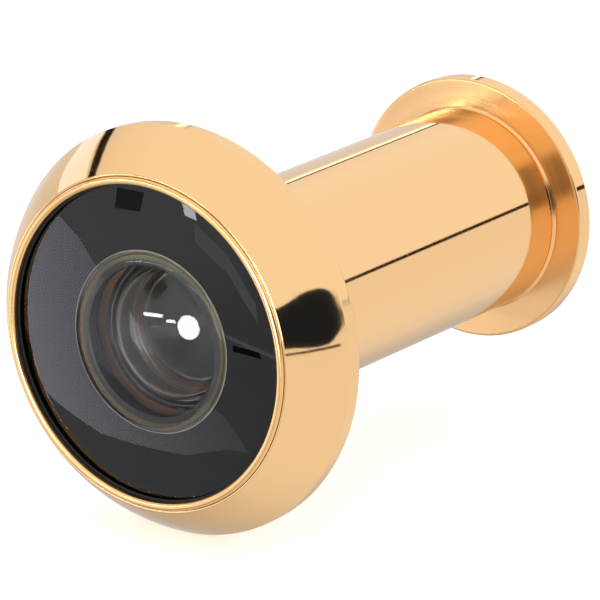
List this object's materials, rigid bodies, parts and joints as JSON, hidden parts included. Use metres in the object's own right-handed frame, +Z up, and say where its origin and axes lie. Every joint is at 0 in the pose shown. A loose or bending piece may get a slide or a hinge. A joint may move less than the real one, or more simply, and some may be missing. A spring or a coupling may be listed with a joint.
{
  "type": "door viewer",
  "caption": "Door viewer with a wide-angle glass objective in a round flange and a threaded eyepiece half that screws into it through the door.",
  "frame": {"origin": "on the optical axis, in the plane of the front flange's back face, which seats on the door's outer face", "axes": "+Y along the optical axis, from outdoors through the door to the eyepiece; +Z up"},
  "size_m": [0.031, 0.0433, 0.031],
  "materials": {
    "polished_gold": "gold-coloured plated brass, polished",
    "bare_brass": "turned brass",
    "black_finish": "matt black",
    "black_rubber": "matt",
    "glass": "polished optical glass"
  },
  "bodies": {
    "outer_half": {"front_barrel": "polished_gold", "lens_lip_ring": "polished_gold", "objective_gasket": "black_rubber", "objective_lens": "glass", "black_mask_ring": "black_finish", "second_lens_keeper": "black_finish", "second_lens": "glass", "lens_spacer": "bare_brass", "third_lens": "glass"},
    "eyepiece_carrier": {"eyepiece_lens": "glass"},
    "inner_half": {"eyepiece_barrel": "polished_gold", "eyepiece_lock_ring": "bare_brass"}
  },
  "joints": [
    {"name": "eyepiece_travel", "type": "slide", "parent": "outer_half", "child": "eyepiece_carrier", "axis": [0, 1, 0], "range_m": [0, 0.024]},
    {"name": "eyepiece_screw", "type": "hinge", "parent": "eyepiece_carrier", "child": "inner_half", "pos_m": [0, 0.036, 0], "axis": [0, 1, 0], "range_deg": [0, 8640]}
  ],
  "couplings": [
    {"joint": "eyepiece_travel", "follows": "eyepiece_screw", "m_per_rad": 0.00015915}
  ]
}
